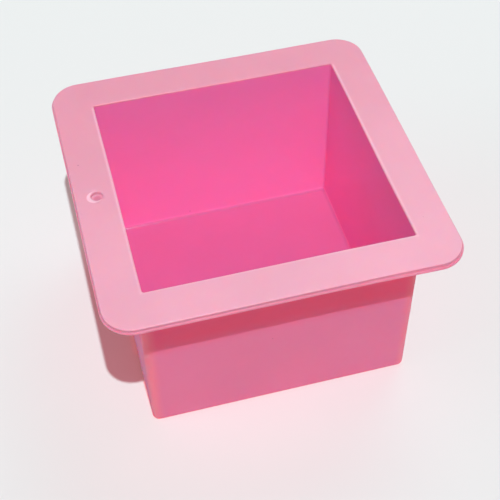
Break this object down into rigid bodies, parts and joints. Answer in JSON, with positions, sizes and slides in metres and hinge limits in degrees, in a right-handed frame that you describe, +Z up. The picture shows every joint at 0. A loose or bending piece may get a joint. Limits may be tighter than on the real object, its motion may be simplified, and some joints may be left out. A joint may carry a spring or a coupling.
{
  "type": "square soap mould",
  "caption": "One-piece silicone soap mould: an open square block cavity with thin walls, hung from a wide flat flange with rounded corners and a small blind dimple in one strip.",
  "frame": {"origin": "middle of the flat base, on the surface that the mould stands on", "axes": "+Z up out of the cavity, +X and +Y along the walls; the flange strip with the dimple is on the -X side"},
  "size_m": [0.1318, 0.1318, 0.077],
  "materials": {
    "pink_silicone": "satin, slightly translucent moulded silicone"
  },
  "bodies": {
    "root": {"mould_body": "pink_silicone"}
  },
  "joints": []
}
